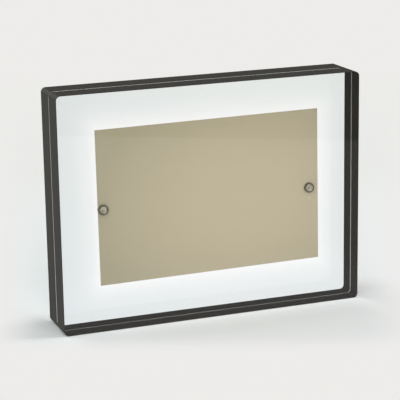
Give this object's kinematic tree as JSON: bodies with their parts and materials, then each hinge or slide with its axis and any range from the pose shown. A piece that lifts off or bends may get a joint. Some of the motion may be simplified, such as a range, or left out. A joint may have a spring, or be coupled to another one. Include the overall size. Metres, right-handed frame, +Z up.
{
  "type": "block photo frame",
  "caption": "Free-standing clear acrylic block frame with black-coated edges: slabs held face to face by magnets, with a photo card floating between them.",
  "frame": {"origin": "middle of the block's underside, at the level of the surface that it stands on", "axes": "+X to the right across the front, +Y from the front face to the back face, +Z up"},
  "size_m": [0.2046, 0.0346, 0.1542],
  "materials": {
    "clear_acrylic": "polished",
    "black_coat": "gloss",
    "nickel_plate": "polished",
    "card_stock": "matte"
  },
  "bodies": {
    "back_half": {"back_block": "clear_acrylic", "back_edge_band": "black_coat", "back_left_magnet": "nickel_plate", "back_right_magnet": "nickel_plate"},
    "front_half": {"front_block": "clear_acrylic", "front_edge_band": "black_coat", "front_left_magnet": "nickel_plate", "front_right_magnet": "nickel_plate"},
    "card": {"photo_card": "card_stock"}
  },
  "joints": [
    {"name": "front_pull", "type": "slide", "parent": "back_half", "child": "front_half", "axis": [0, -1, 0], "range_m": [0, 0.05]},
    {"name": "card_lift", "type": "slide", "parent": "back_half", "child": "card", "axis": [0, 0, 1], "range_m": [0, 0.14]}
  ]
}
